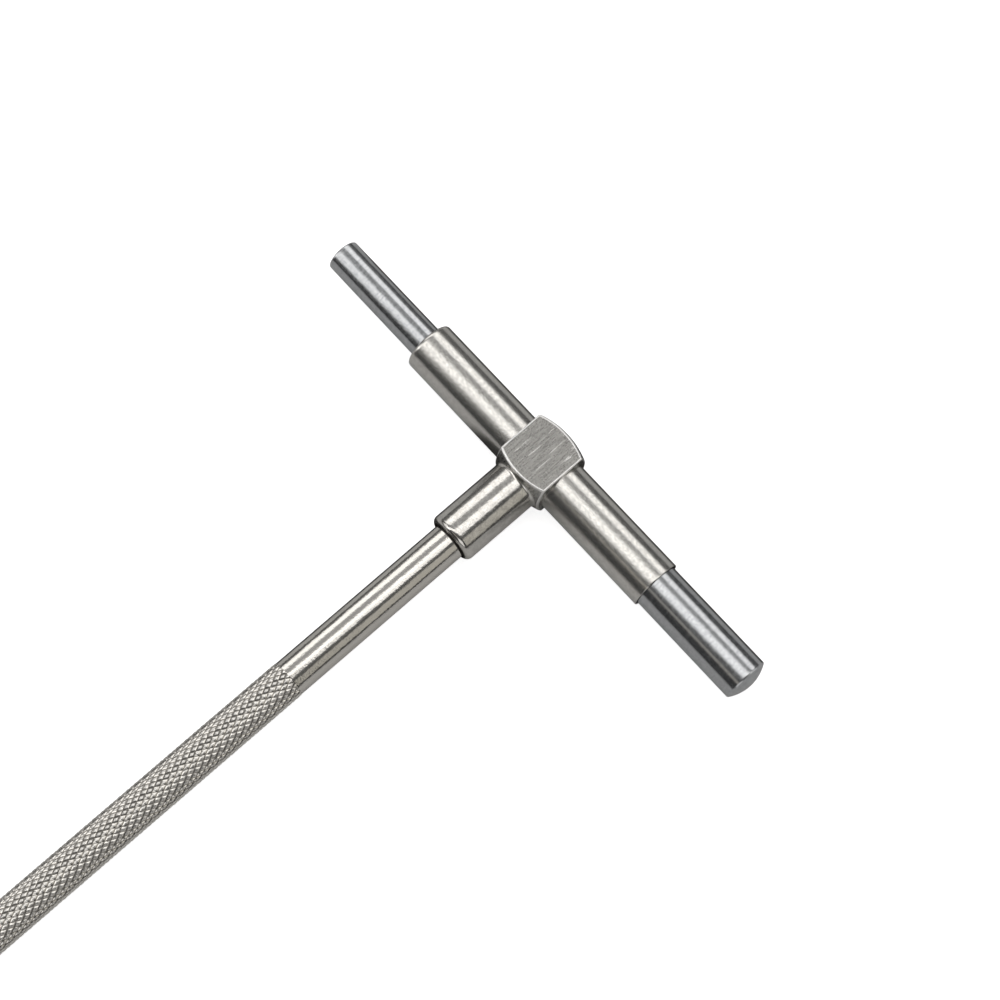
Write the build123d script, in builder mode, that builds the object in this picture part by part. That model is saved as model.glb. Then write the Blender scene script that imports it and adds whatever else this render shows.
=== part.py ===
from build123d import *
import math
import os

# Telescoping bore gauge, 54 to 90 mm: a crossbar with two sprung plungers on a long
# knurled handle, whose tail knob locks the plungers. Sizes are in millimetres.
# +X runs along the crossbar to the large plunger, the handle runs along -Y, and the
# gauge lies with the rear flat of its hub on z = 0. The plungers stand fully out.

# Crossbar and plungers
reach_open = 90.0
reach_closed = 54.0
tube_length = 50.0
tube_radius = 4.10
tube_end_wall = 4.0
tube_end_chamfer = 0.4
large_radius = 3.65
large_wall = 0.90
large_tip_wall = 2.4
small_radius = 2.70
tip_sphere = 6.6
running_clearance = 0.05
edge_break = 0.12

# Hub and neck
hub_length = 9.3
hub_thickness = 9.6
crown_height = 5.65
crown_sphere = 12.8
neck_radius = 4.0
neck_end = 18.0
neck_lip_round = 0.95
neck_mouth_radius = 3.15
neck_mouth_depth = 0.45

# Handle
socket_depth = 9.5
handle_radius = 2.88
knurl_radius = 2.98
knurl_start = 48.8
knurl_edge = 0.35
handle_end = 137.0
handle_bore_radius = 1.9
overall_drop = 150.0

# Lock
brake_radius = 1.30
nose_radius = 0.80
nose_slack = 0.13
groove_floor = 2.0
slot_side_gap = 0.10
slot_end_gap = 0.05
stop_web = 1.75
brake_shoulder = 4.4
brake_tail = 10.0
rod_radius = 1.20
thread_radius = 1.40
thread_length = 20.0
bush_length = 12.0
knob_radius = 3.3
knob_gap = 0.8
knob_shank_depth = 8.0
knob_end_chamfer = 0.6
knob_pin_radius = 0.5

# Plunger spring
spring_wire = 0.35
spring_mean_radius = 2.25
spring_turns = 8

# Places worked out from the driving sizes
axis_z = hub_thickness / 2
half_reach = reach_open / 2
stroke = (reach_open - reach_closed) / 2
half_tube = tube_length / 2
bore_radius = large_radius + running_clearance
small_bore_radius = small_radius + running_clearance
slot_width = 2 * (nose_radius + slot_side_gap)
slot_end = nose_radius + slot_end_gap
plunger_inner_end = slot_end + stop_web
spring_seat = half_reach - large_tip_wall
block_corner = math.hypot(hub_length / 2, hub_thickness / 2)

section = Plane.XY.offset(axis_z)
across_bar = Plane(origin=(0, 0, axis_z), x_dir=(0, 1, 0), z_dir=(1, 0, 0))
across_handle = Plane(origin=(0, 0, axis_z), x_dir=(1, 0, 0), z_dir=(0, -1, 0))
bar_axis = Axis((0, 0, axis_z), (1, 0, 0))
handle_axis = Axis((0, 0, axis_z), (0, 1, 0))

os.makedirs("parts", exist_ok=True)


def sphere_drop(sphere_radius, radius):
    """How far a sphere falls away from its top at a distance from its axis."""
    return sphere_radius - math.sqrt(sphere_radius**2 - radius**2)


def turned_tip(end_x, radius, facing):
    """The domed end of a plunger's section, drawn from its axis out to its side."""
    drop = sphere_drop(tip_sphere, radius)
    middle_drop = sphere_drop(tip_sphere, radius / 2)
    ThreePointArc(
        (end_x, 0),
        (end_x - facing * middle_drop, radius / 2),
        (end_x - facing * drop, radius),
    )
    return end_x - facing * drop


# Hub: a square block whose two Y ends are crowned by turning about the handle axis,
# bored across for the tube, with the neck that holds the handle turned on its lower end
crown_corner = crown_height - sphere_drop(crown_sphere, block_corner)
crown_middle = crown_height - sphere_drop(crown_sphere, block_corner / 2)
with BuildPart() as hub:
    with BuildSketch():
        Rectangle(hub_length, 2 * crown_height)
    extrude(amount=hub_thickness)
    with BuildSketch(section):
        with BuildLine():
            ThreePointArc(
                (0, crown_height), (block_corner / 2, crown_middle), (block_corner, crown_corner)
            )
            Line((block_corner, crown_corner), (block_corner, -crown_corner))
            ThreePointArc(
                (block_corner, -crown_corner), (block_corner / 2, -crown_middle), (0, -crown_height)
            )
            Line((0, -crown_height), (0, crown_height))
        make_face()
    revolve(axis=handle_axis, mode=Mode.INTERSECT)
    flats = hub.faces().filter_by(Plane.XY)
    chamfer(flats.edges(), edge_break)
    with BuildSketch(section):
        with BuildLine():
            Polyline(
                (0, 0),
                (neck_radius, 0),
                (neck_radius, neck_lip_round - neck_end),
            )
            RadiusArc(
                (neck_radius, neck_lip_round - neck_end),
                (neck_mouth_radius, -neck_end),
                neck_lip_round,
            )
            Polyline(
                (neck_mouth_radius, -neck_end),
                (0, -neck_end),
                (0, 0),
            )
        make_face()
    revolve(axis=handle_axis)
    with BuildSketch(across_bar):
        Circle(tube_radius)
    extrude(amount=hub_length, both=True, mode=Mode.SUBTRACT)
    with BuildSketch(across_handle):
        Circle(brake_radius + running_clearance)
    extrude(amount=neck_end, mode=Mode.SUBTRACT)
    with BuildSketch(across_handle.offset(neck_end - socket_depth)):
        Circle(handle_radius)
    extrude(amount=socket_depth, mode=Mode.SUBTRACT)
    with BuildSketch(across_handle.offset(neck_end - neck_mouth_depth)):
        Circle(neck_mouth_radius)
    extrude(amount=neck_mouth_depth, mode=Mode.SUBTRACT)
hub.part.label = "hub"
export_step(hub.part, "parts/hub.step")

# Crossbar tube: bored from the right for the large plunger, which leaves a thick end
# wall on the left that guides the small plunger
with BuildPart() as crossbar_tube:
    with BuildSketch(across_bar.offset(-half_tube)):
        Circle(tube_radius)
    extrude(amount=tube_length)
    left_rim = crossbar_tube.edges().filter_by(GeomType.CIRCLE).sort_by(Axis.X)[0]
    chamfer(left_rim, tube_end_chamfer)
    with BuildSketch(across_bar.offset(tube_end_wall - half_tube)):
        Circle(bore_radius)
    extrude(amount=tube_length - tube_end_wall, mode=Mode.SUBTRACT)
    with BuildSketch(across_bar.offset(-half_tube)):
        Circle(small_bore_radius)
    extrude(amount=tube_end_wall, mode=Mode.SUBTRACT)
    with BuildSketch(across_handle):
        Circle(nose_radius + slot_side_gap)
    extrude(amount=tube_radius, mode=Mode.SUBTRACT)
crossbar_tube.part.label = "crossbar_tube"
export_step(crossbar_tube.part, "parts/crossbar_tube.step")

# Large plunger: a deep blind sleeve with a domed measuring end and one closed slot,
# whose ends stop it against the nose of the brake pin
with BuildPart() as large_plunger:
    with BuildSketch(section):
        with BuildLine():
            shoulder_x = turned_tip(half_reach, large_radius, 1)
            Polyline(
                (shoulder_x, large_radius),
                (-plunger_inner_end, large_radius),
                (-plunger_inner_end, large_radius - large_wall),
                (spring_seat, large_radius - large_wall),
                (spring_seat, 0),
                (half_reach, 0),
            )
        make_face()
    revolve(axis=bar_axis)
    with BuildSketch(across_handle):
        with Locations((stroke / 2, 0)):
            SlotOverall(stroke + 2 * slot_end, slot_width)
    extrude(amount=large_radius, mode=Mode.SUBTRACT)
large_plunger.part.label = "large_plunger"
export_step(large_plunger.part, "parts/large_plunger.step")

# Small plunger: a solid rod that telescopes in the large one, with a domed measuring
# end and a closed flat-bottomed groove for the same nose
with BuildPart() as small_plunger:
    with BuildSketch(section):
        with BuildLine():
            shoulder_x = turned_tip(-half_reach, small_radius, -1)
            Polyline(
                (shoulder_x, small_radius),
                (plunger_inner_end - edge_break, small_radius),
                (plunger_inner_end, small_radius - edge_break),
                (plunger_inner_end, 0),
                (-half_reach, 0),
            )
        make_face()
    revolve(axis=bar_axis)
    with BuildSketch(across_handle.offset(groove_floor)):
        with Locations((-stroke / 2, 0)):
            SlotOverall(stroke + 2 * slot_end, slot_width)
    extrude(amount=small_radius, mode=Mode.SUBTRACT)
small_plunger.part.label = "small_plunger"
export_step(small_plunger.part, "parts/small_plunger.step")

# Plunger spring: square wire that pushes the two plungers apart inside the large one
spring_length = spring_seat - plunger_inner_end
coil_height = spring_length - spring_wire
with BuildPart() as plunger_spring:
    with BuildLine():
        coil = Helix(
            pitch=coil_height / spring_turns,
            height=coil_height,
            radius=spring_mean_radius,
            center=(plunger_inner_end + spring_wire / 2, 0, axis_z),
            direction=(1, 0, 0),
        )
    coil_start = coil @ 0
    outward = coil_start - Vector(coil_start.X, 0, axis_z)
    with BuildSketch(Plane(origin=coil_start, x_dir=outward, z_dir=coil % 0)):
        Rectangle(spring_wire, spring_wire)
    sweep(is_frenet=True)
plunger_spring.part.label = "plunger_spring"
export_step(plunger_spring.part, "parts/plunger_spring.step")

# Brake pin: its nose passes the tube wall and the large plunger's slot, and presses the
# small plunger's groove floor, which clamps both plungers against the far wall
with BuildPart() as brake_pin:
    with BuildSketch(section):
        with BuildLine():
            Polyline(
                (0, -groove_floor - nose_slack),
                (nose_radius, -groove_floor - nose_slack),
                (nose_radius, -brake_shoulder),
                (brake_radius, -brake_shoulder),
                (brake_radius, -brake_tail),
                (0, -brake_tail),
                close=True,
            )
        make_face()
    revolve(axis=handle_axis)
brake_pin.part.label = "brake_pin"
export_step(brake_pin.part, "parts/brake_pin.step")

# Handle tube: pressed into the neck, smooth below it and knurled from there to its end
with BuildPart() as handle_tube:
    with BuildSketch(section):
        with BuildLine():
            Polyline(
                (handle_bore_radius, socket_depth - neck_end),
                (handle_radius, socket_depth - neck_end),
                (handle_radius, -knurl_start),
                (knurl_radius, -knurl_start - edge_break),
                (knurl_radius, knurl_edge - handle_end),
                (knurl_radius - knurl_edge, -handle_end),
                (handle_bore_radius, -handle_end),
                close=True,
            )
        make_face()
    revolve(axis=handle_axis)
handle_tube.part.label = "handle_tube"
export_step(handle_tube.part, "parts/handle_tube.step")

# Tail bush: the nut for the lock rod's thread, pressed into the end of the handle
with BuildPart() as tail_bush:
    with BuildSketch(across_handle.offset(handle_end - bush_length)):
        Circle(handle_bore_radius)
        Circle(thread_radius + running_clearance, mode=Mode.SUBTRACT)
    extrude(amount=bush_length)
tail_bush.part.label = "tail_bush"
export_step(tail_bush.part, "parts/tail_bush.step")

# Lock rod: it runs the length of the handle, threaded where it passes the tail bush
knob_start = handle_end + knob_gap
shank_end = knob_start + knob_shank_depth
with BuildPart() as lock_rod:
    with BuildSketch(section):
        with BuildLine():
            Polyline(
                (0, -brake_tail),
                (rod_radius / 2, -brake_tail),
                (rod_radius, -brake_tail - rod_radius / 2),
                (rod_radius, thread_length - knob_start),
                (thread_radius, thread_length - knob_start),
                (thread_radius, -knob_start),
                (rod_radius, -knob_start),
                (rod_radius, -shank_end),
                (0, -shank_end),
                close=True,
            )
        make_face()
    revolve(axis=handle_axis)
    with BuildSketch(Plane.XY.offset(axis_z - knob_radius)):
        with Locations((0, -knob_start - knob_shank_depth / 2)):
            Circle(knob_pin_radius)
    extrude(amount=2 * knob_radius, mode=Mode.SUBTRACT)
lock_rod.part.label = "lock_rod"
export_step(lock_rod.part, "parts/lock_rod.step")

# Lock knob: a small turned cap on the rod's end, held by a cross pin
with BuildPart() as lock_knob:
    with BuildSketch(section):
        with BuildLine():
            Polyline(
                (rod_radius, -knob_start),
                (knob_radius - knurl_edge, -knob_start),
                (knob_radius, -knob_start - knurl_edge),
                (knob_radius, knob_end_chamfer - overall_drop),
                (knob_radius - knob_end_chamfer, -overall_drop),
                (0, -overall_drop),
                (0, -shank_end),
                (rod_radius, -shank_end),
                close=True,
            )
        make_face()
    revolve(axis=handle_axis)
    with BuildSketch(Plane.XY.offset(axis_z - knob_radius)):
        with Locations((0, -knob_start - knob_shank_depth / 2)):
            Circle(knob_pin_radius)
    extrude(amount=2 * knob_radius, mode=Mode.SUBTRACT)
lock_knob.part.label = "lock_knob"
export_step(lock_knob.part, "parts/lock_knob.step")

# Knob pin: driven across the knob and the rod, just below the knob's surface
with BuildPart() as knob_pin:
    with BuildSketch(Plane.XY.offset(axis_z - knob_radius + edge_break)):
        with Locations((0, -knob_start - knob_shank_depth / 2)):
            Circle(knob_pin_radius)
    extrude(amount=2 * (knob_radius - edge_break))
knob_pin.part.label = "knob_pin"
export_step(knob_pin.part, "parts/knob_pin.step")
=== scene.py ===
import math

import bmesh
import bpy
from mathutils import Matrix, Vector


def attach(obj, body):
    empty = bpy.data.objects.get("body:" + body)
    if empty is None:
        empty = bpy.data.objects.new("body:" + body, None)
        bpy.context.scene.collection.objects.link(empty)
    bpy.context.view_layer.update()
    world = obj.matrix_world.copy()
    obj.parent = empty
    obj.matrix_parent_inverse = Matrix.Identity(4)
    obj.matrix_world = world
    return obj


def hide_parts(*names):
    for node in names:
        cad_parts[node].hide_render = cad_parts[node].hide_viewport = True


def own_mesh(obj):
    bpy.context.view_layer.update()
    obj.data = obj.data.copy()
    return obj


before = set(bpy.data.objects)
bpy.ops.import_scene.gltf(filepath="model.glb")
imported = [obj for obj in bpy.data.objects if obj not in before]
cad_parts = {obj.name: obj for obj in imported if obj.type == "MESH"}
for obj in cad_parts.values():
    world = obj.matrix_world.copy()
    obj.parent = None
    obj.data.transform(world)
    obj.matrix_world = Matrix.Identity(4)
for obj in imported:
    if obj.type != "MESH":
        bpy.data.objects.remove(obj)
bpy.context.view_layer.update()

# Telescoping gauge, 54 to 90 mm. Sizes in the dictionaries are in millimetres,
# in the CAD frame: bar along X, handle along -Y, hub lying on z = 0.

mm = 0.001
axisZ = 4.8          # height of the bar's and the handle's axis
smoothAngle = 27.0   # edges that turn more than this stay crisp
arcSteps = 5         # straight steps in each small rounding
cutReach = 1.0       # how far a cutter stands out of what it cuts
scene = bpy.context.scene


def onBar(station, radius, turn):
    return (station, radius * math.cos(turn), axisZ + radius * math.sin(turn))


def onHandle(station, radius, turn):
    return (radius * math.cos(turn), station, axisZ + radius * math.sin(turn))


def meshPiece(name, bm, materials):
    # from millimetres to metres, normals out, crisp edges kept
    bmesh.ops.recalc_face_normals(bm, faces=bm.faces)
    bmesh.ops.scale(bm, vec=(mm, mm, mm), verts=bm.verts)
    mesh = bpy.data.meshes.new(name)
    bm.to_mesh(mesh)
    bm.free()
    piece = bpy.data.objects.new(name, mesh)
    scene.collection.objects.link(piece)
    for material in materials:
        mesh.materials.append(material)
    shade(mesh)
    return piece


def shade(mesh):
    mesh.shade_smooth()
    mesh.set_sharp_from_angle(angle=math.radians(smoothAngle))


def paint(piece, slotAt):
    # slotAt picks a face's material slot from its centre in millimetres and its normal
    for face in piece.data.polygons:
        face.material_index = slotAt(face.center / mm, face.normal)


def rounded(corners):
    # corners are (station, radius, rounding); each rounding becomes an arc
    line = []
    for i, (station, radius, rounding) in enumerate(corners):
        here = Vector((station, radius))
        if rounding == 0:
            line.append(here)
            continue
        back = (Vector(corners[i - 1][:2]) - here).normalized()
        ahead = (Vector(corners[(i + 1) % len(corners)][:2]) - here).normalized()
        half = back.angle(ahead) / 2
        centre = here + (back + ahead).normalized() * rounding / math.sin(half)
        start = here + back * rounding / math.tan(half) - centre
        end = here + ahead * rounding / math.tan(half) - centre
        sweep = start.angle_signed(end)
        for step in range(arcSteps + 1):
            line.append(centre + Matrix.Rotation(-sweep * step / arcSteps, 2) @ start)
    return line


def supported(line, gap=0.15):
    # extra rings near the ends of long runs keep their reflections straight
    full = []
    for here, ahead in zip(line, line[1:]):
        full.append(here)
        run = ahead - here
        if run.length > 4 * gap:  # shorter runs need none
            full.append(here + run.normalized() * gap)
            full.append(ahead - run.normalized() * gap)
    return full + [line[-1]]


def addTurned(bm, line, place, segments, closed=False):
    # rings of points round the bar's, the handle's or the pin's axis, joined into a skin
    rings = []
    for station, radius in line:
        if radius < 1e-6:  # a point on the axis
            rings.append([bm.verts.new(place(station, 0, 0))])
        else:
            rings.append([
                bm.verts.new(place(station, radius, 2 * math.pi * i / segments))
                for i in range(segments)
            ])
    joinAll(bm, rings + rings[:1] if closed else rings)
    return rings


def joinAll(bm, rings):
    for near, far in zip(rings, rings[1:]):
        joinRings(bm, near, far)


def joinRings(bm, near, far):
    if len(near) == 1 and len(far) == 1:
        return
    count = max(len(near), len(far))
    for i in range(count):
        j = (i + 1) % count
        if len(near) == 1:
            bm.faces.new((near[0], far[i], far[j]))
        elif len(far) == 1:
            bm.faces.new((near[i], far[0], near[j]))
        else:
            bm.faces.new((near[i], far[i], far[j], near[j]))


def turnedPiece(name, line, place, segments, materials, closed=False):
    bm = bmesh.new()
    addTurned(bm, [Vector(point) for point in line], place, segments, closed)
    return meshPiece(name, bm, materials)


def cut(piece, cutter):
    modifier = piece.modifiers.new("cut", "BOOLEAN")
    modifier.operation = "DIFFERENCE"
    modifier.solver = "EXACT"
    modifier.object = cutter
    takeResult(piece)
    bpy.data.objects.remove(cutter)


def takeResult(piece):
    # the evaluated shape becomes the piece's own mesh
    graph = bpy.context.evaluated_depsgraph_get()
    mesh = bpy.data.meshes.new_from_object(piece.evaluated_get(graph))
    piece.modifiers.clear()
    piece.data = mesh
    shade(mesh)


def put(tree, kind, **settings):
    # a node with its settings
    node = tree.nodes.new(kind)
    for key, value in settings.items():
        setattr(node, key, value)
    return node


def feed(tree, value, socket):
    # a value or another node's socket goes into this socket
    if isinstance(value, bpy.types.NodeSocket):
        tree.links.new(value, socket)
    else:
        socket.default_value = value


socketKinds = {int: "NodeSocketInt", float: "NodeSocketFloat", tuple: "NodeSocketVector"}


def newGroup(name, kind, output, outputKind, inputs):
    # an input is given by its first value, or by its socket's kind where it has none
    group = bpy.data.node_groups.new(name, kind)
    group.interface.new_socket(name=output, in_out="OUTPUT", socket_type=outputKind)
    for title, value in inputs.items():
        socketKind = value if isinstance(value, str) else socketKinds[type(value)]
        socket = group.interface.new_socket(name=title, in_out="INPUT", socket_type=socketKind)
        if value != socketKind:
            socket.default_value = value
    ins = put(group, "NodeGroupInput").outputs
    out = put(group, "NodeGroupOutput").inputs[0]
    return group, ins, out


def calc(tree, operation, a, b=0.0, c=0.0):
    node = put(tree, "ShaderNodeMath", operation=operation)
    for value, socket in zip((a, b, c), node.inputs):
        feed(tree, value, socket)
    return node.outputs[0]


def ramp(tree, value, start, end):
    # 0 at start, 1 at end, smooth between them
    node = put(tree, "ShaderNodeMapRange", interpolation_type="SMOOTHSTEP")
    feed(tree, value, node.inputs["Value"])
    feed(tree, start, node.inputs["From Min"])
    feed(tree, end, node.inputs["From Max"])
    return node.outputs["Result"]


def between(tree, mask, low, high):
    node = put(tree, "ShaderNodeMapRange")
    feed(tree, mask, node.inputs["Value"])
    feed(tree, low, node.inputs["To Min"])
    feed(tree, high, node.inputs["To Max"])
    return node.outputs["Result"]


def combine(tree, x, y, z):
    node = put(tree, "ShaderNodeCombineXYZ")
    for value, socket in zip((x, y, z), node.inputs):
        feed(tree, value, socket)
    return node.outputs[0]


def separate(tree, vector):
    node = put(tree, "ShaderNodeSeparateXYZ")
    feed(tree, vector, node.inputs[0])
    return node.outputs["X"], node.outputs["Y"], node.outputs["Z"]


def vectorCalc(tree, operation, vector, other):
    # other is a vector, or a number where the operation is SCALE
    node = put(tree, "ShaderNodeVectorMath", operation=operation)
    feed(tree, vector, node.inputs[0])
    feed(tree, other, node.inputs["Scale"] if operation == "SCALE" else node.inputs[1])
    return node.outputs[0]


def noise(tree, vector, scale, detail):
    node = put(tree, "ShaderNodeTexNoise")
    feed(tree, vector, node.inputs["Vector"])
    feed(tree, scale, node.inputs["Scale"])
    feed(tree, detail, node.inputs["Detail"])
    return node.outputs["Fac"]


def objectPlace(tree):
    return put(tree, "ShaderNodeTexCoord").outputs["Object"]


def specklePattern():
    # fine grain of a plated or blasted skin
    group, ins, out = newGroup("speckle", "ShaderNodeTree", "Pattern", "NodeSocketFloat", {
        "Grain": 0.15, "Stretch": (1, 1, 1),
    })
    where = vectorCalc(group, "MULTIPLY", objectPlace(group), ins["Stretch"])
    feed(group, noise(group, where, calc(group, "DIVIDE", 1 / mm, ins["Grain"]), 2.0), out)
    return group


def scratchPattern():
    # a few long thin marks; Spacing is their size in mm along each axis
    group, ins, out = newGroup("scratches", "ShaderNodeTree", "Marks", "NodeSocketFloat", {
        "Spacing": (0.2, 6, 6), "Amount": 0.2,
    })
    rarest, gain, softness = 0.72, 0.25, 0.06  # levels of the noise where the marks begin
    spaced = vectorCalc(group, "DIVIDE", objectPlace(group), ins["Spacing"])
    level = noise(group, vectorCalc(group, "SCALE", spaced, 1 / mm), 1.0, 3.0)
    edge = calc(group, "SUBTRACT", rarest, calc(group, "MULTIPLY", ins["Amount"], gain))
    feed(group, ramp(group, level, edge, calc(group, "ADD", edge, softness)), out)
    return group


def knurlDepthPattern():
    # 1 on a knurl's crests and 0 in its valleys, from the distance to the axis
    group, ins, out = newGroup("knurlDepth", "ShaderNodeTree", "Height", "NodeSocketFloat", {
        "Root": 2.8, "Crest": 3.0,
    })
    x, y, z = separate(group, objectPlace(group))
    up = calc(group, "SUBTRACT", z, axisZ * mm)
    square = calc(group, "MULTIPLY_ADD", up, up, calc(group, "MULTIPLY", x, x))
    radius = calc(group, "MULTIPLY", calc(group, "SQRT", square), 1 / mm)
    feed(group, ramp(group, radius, ins["Root"], ins["Crest"]), out)
    return group


def blockEdgePattern():
    # 1 along the edges of a crowned block, where wear and a painted highlight go, from the distances
    # to its faces
    group, ins, out = newGroup("blockEdge", "ShaderNodeTree", "Edge", "NodeSocketFloat", {
        "Half Width": 4.65, "Half Thickness": 4.8, "Crown Height": 5.65, "Crown Sphere": 12.8,
        "Wear": 0.2,
    })
    brightShare = 0.6  # of the wear's width, nearest the edge
    x, y, z = separate(group, vectorCalc(group, "SCALE", objectPlace(group), 1 / mm))
    up = calc(group, "SUBTRACT", z, axisZ)
    aside = calc(group, "MULTIPLY_ADD", up, up, calc(group, "MULTIPLY", x, x))
    sphere = ins["Crown Sphere"]
    square = calc(group, "SUBTRACT", calc(group, "MULTIPLY", sphere, sphere), aside)
    middle = calc(group, "SUBTRACT", ins["Crown Height"], sphere)
    crown = calc(group, "ADD", middle, calc(group, "SQRT", square))
    toSide = calc(group, "SUBTRACT", ins["Half Width"], calc(group, "ABSOLUTE", x))
    toFlat = calc(group, "SUBTRACT", ins["Half Thickness"], calc(group, "ABSOLUTE", up))
    toCrown = calc(group, "SUBTRACT", crown, calc(group, "ABSOLUTE", y))
    # an edge is near where the second nearest face is near
    larger = calc(group, "MAXIMUM", toSide, toFlat)
    second = calc(group, "MAXIMUM", calc(group, "MINIMUM", toSide, toFlat),
                  calc(group, "MINIMUM", larger, toCrown))
    fullyWorn = calc(group, "MULTIPLY", ins["Wear"], brightShare)
    feed(group, ramp(group, second, ins["Wear"], fullyWorn), out)
    return group


speckle = specklePattern()
scratches = scratchPattern()
knurlDepth = knurlDepthPattern()
blockEdge = blockEdgePattern()


def useGroup(tree, group, values):
    node = put(tree, "ShaderNodeGroup", node_tree=group)
    for name, value in values.items():
        feed(tree, value, node.inputs[name])
    return node.outputs[0]


def blendColour(tree, mask, low, high):
    node = put(tree, "ShaderNodeMix", data_type="RGBA")
    feed(tree, mask, node.inputs["Factor"])
    for colour, socket in ((low, node.inputs["A"]), (high, node.inputs["B"])):
        feed(tree, colour if isinstance(colour, bpy.types.NodeSocket) else (*colour, 1), socket)
    return node.outputs["Result"]


def metal(name):
    material = bpy.data.materials.new(name)
    material.use_nodes = True
    tree = material.node_tree
    shader = tree.nodes["Principled BSDF"]
    shader.inputs["Metallic"].default_value = 1.0
    return material, tree, shader.inputs


def bump(tree, inputs, height, depth):
    node = put(tree, "ShaderNodeBump")
    feed(tree, height, node.inputs["Height"])
    feed(tree, 1.0, node.inputs["Strength"])
    feed(tree, depth * mm, node.inputs["Distance"])
    feed(tree, node.outputs["Normal"], inputs["Normal"])


def satinNickel(name, look):
    # plated skin with a fine grain and wider soft clouds
    material, tree, inputs = metal(name)
    fine = useGroup(tree, speckle, {"Grain": look["grain"]})
    wide = useGroup(tree, speckle, {"Grain": look["cloud"], "Stretch": look["cloudStretch"]})
    tone = ramp(tree, calc(tree, "ADD", fine, wide), 1 - look["spread"], 1 + look["spread"])
    feed(tree, blendColour(tree, tone, look["dull"], look["bright"]), inputs["Base Color"])
    feed(tree, between(tree, fine, look["smoothest"], look["roughest"]), inputs["Roughness"])
    height = calc(tree, "MULTIPLY_ADD", wide, look["cloudHeight"], fine)
    bump(tree, inputs, height, look["depth"])
    return material


def groundSteel(name, look, block=None):
    # surface-ground face: long lines, a few scratches, and a block's edges rubbed bright, with a
    # painted highlight along them
    material, tree, inputs = metal(name)
    lines = useGroup(tree, speckle, {"Grain": look["line"], "Stretch": look["stretch"]})
    pits = useGroup(tree, speckle, {"Grain": look["pit"]})
    marks = useGroup(tree, scratches, {
        "Spacing": look["scratchSpacing"], "Amount": look["scratched"],
    })
    grain = calc(tree, "MULTIPLY_ADD", pits, look["pitted"], lines)
    middle = 0.5 * (1 + look["pitted"])
    tone = ramp(tree, grain, middle - look["spread"], middle + look["spread"])
    ground = blendColour(tree, tone, look["dark"], look["pale"])
    skin = blendColour(tree, marks, ground, look["scratchColour"])
    rough = between(tree, tone, look["smoothest"], look["roughest"])
    if block:
        worn = useGroup(tree, blockEdge, {
            "Half Width": block["width"] / 2, "Half Thickness": block["thickness"] / 2,
            "Crown Height": block["crownHeight"], "Crown Sphere": block["crownSphere"],
            "Wear": look["edgeWear"],
        })
        # worn edges with a painted highlight
        skin = blendColour(tree, worn, skin, look["wornEdgeAndHighlight"])
        rough = calc(tree, "MULTIPLY_ADD", worn, look["edgeRough"], rough)
    feed(tree, skin, inputs["Base Color"])
    feed(tree, rough, inputs["Roughness"])
    bump(tree, inputs, calc(tree, "SUBTRACT", grain, marks), look["depth"])
    return material


def brightNickel(name, look):
    # bright plate, darker in the knurl's valleys from dirt and painted shade, and rubbed matt on its
    # crests
    material, tree, inputs = metal(name)
    height = useGroup(tree, knurlDepth, {"Root": look["root"], "Crest": look["skin"]})
    rubbed = useGroup(tree, knurlDepth, {"Root": look["skin"], "Crest": look["crest"]})
    fine = useGroup(tree, speckle, {"Grain": look["grain"]})
    wave = useGroup(tree, speckle, {"Grain": look["wave"], "Stretch": look["waveStretch"]})
    plate = blendColour(tree, wave, look["dull"], look["bright"])
    plate = blendColour(tree, rubbed, plate, look["rubbed"])
    # the valleys' colour is dirt and painted shade
    feed(tree, blendColour(tree, height, look["valleyDirtAndShade"], plate), inputs["Base Color"])
    worn = between(tree, height, look["grimeRough"], look["rough"])
    worn = calc(tree, "MULTIPLY_ADD", rubbed, look["rubbedRough"], worn)
    uneven = between(tree, fine, 1 - look["uneven"], 1 + look["uneven"])
    feed(tree, calc(tree, "MULTIPLY", worn, uneven), inputs["Roughness"])
    bump(tree, inputs, calc(tree, "MULTIPLY_ADD", wave, look["waveHeight"], fine), look["depth"])
    return material


evenClouds = {"cloudStretch": (1, 1, 1), "cloudHeight": 1.0, "spread": 0.30}
plainSteel = satinNickel("plainSteel", {
    **evenClouds, "grain": 0.10, "cloud": 0.8,
    "dull": (0.45, 0.44, 0.43), "bright": (0.60, 0.59, 0.58),
    "smoothest": 0.22, "roughest": 0.36, "depth": 0.002,
})
# painted shade: a dark skin laid in mouths, gaps and corners
gapShade = satinNickel("gapShade", {
    **evenClouds, "grain": 0.15, "cloud": 0.5,
    "dull": (0.04, 0.037, 0.033), "bright": (0.09, 0.083, 0.075),
    "smoothest": 0.45, "roughest": 0.6, "depth": 0.004,
})
print("patterns and shared materials made")


rodSteel = groundSteel("rodSteel", {
    "line": 0.10, "stretch": (1, 0.06, 0.06), "pit": 0.35, "pitted": 0.8, "spread": 0.32,
    "dark": (0.42, 0.428, 0.440), "pale": (0.60, 0.610, 0.620),
    "smoothest": 0.14, "roughest": 0.23, "depth": 0.0030,
    "scratchSpacing": (0.6, 0.8, 0.8), "scratched": 0.08, "scratchColour": (0.25, 0.26, 0.28),
})
smallPlungerSizes = {
    "tipX": -45.0, "innerEnd": 2.6, "radius": 2.70, "tipSphere": 6.6, "edge": 0.12,
    "slotFrom": -18.85, "slotTo": 0.85, "slotHalfWidth": 0.9, "slotFloor": 2.0,
    "segments": 160,
}
largePlungerSizes = {
    "tipX": 45.0, "innerEnd": -2.6, "radius": 3.65, "bore": 2.75, "boreEnd": 42.6,
    "tipSphere": 6.6, "edge": 0.12, "lip": 0.08,
    "slotFrom": -0.85, "slotTo": 18.85, "slotHalfWidth": 0.9,
    "slotFloor": 1.75,  # inside the bore, so this slot is open
    "segments": 192,
}


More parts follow.
